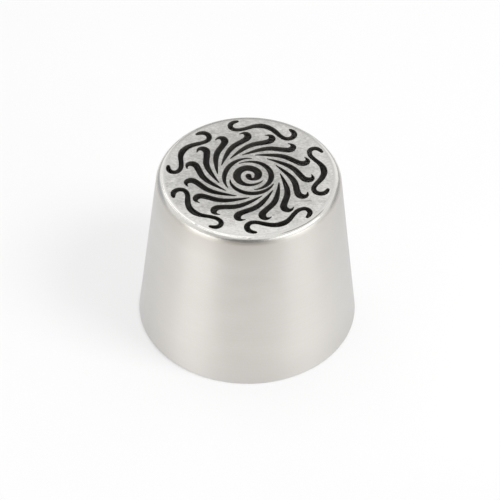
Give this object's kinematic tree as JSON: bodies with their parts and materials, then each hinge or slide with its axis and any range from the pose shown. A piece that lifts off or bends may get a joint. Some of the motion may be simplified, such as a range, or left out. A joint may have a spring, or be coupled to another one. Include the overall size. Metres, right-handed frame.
{
  "type": "piping nozzle",
  "caption": "Flower piping nozzle: a steel cone whose narrow end is closed by a welded-in plate cut through with swirling slots, for pressing icing into petalled shapes.",
  "frame": {"origin": "centre of the wide mouth, in the plane of its rim", "axes": "+Z along the cone's axis from the wide mouth to the pattern plate; the picture is taken from -Y, from above"},
  "size_m": [0.05, 0.05, 0.041],
  "materials": {
    "cone_steel": "satin stainless steel, finely brushed round the axis",
    "plate_steel": "satin stainless sheet with an even fine grain, slots with plain cut walls",
    "weld_steel": "dressed and polished weld metal"
  },
  "bodies": {
    "root": {"cone_shell": "cone_steel", "pattern_plate": "plate_steel", "weld_bead": "weld_steel"}
  },
  "joints": []
}
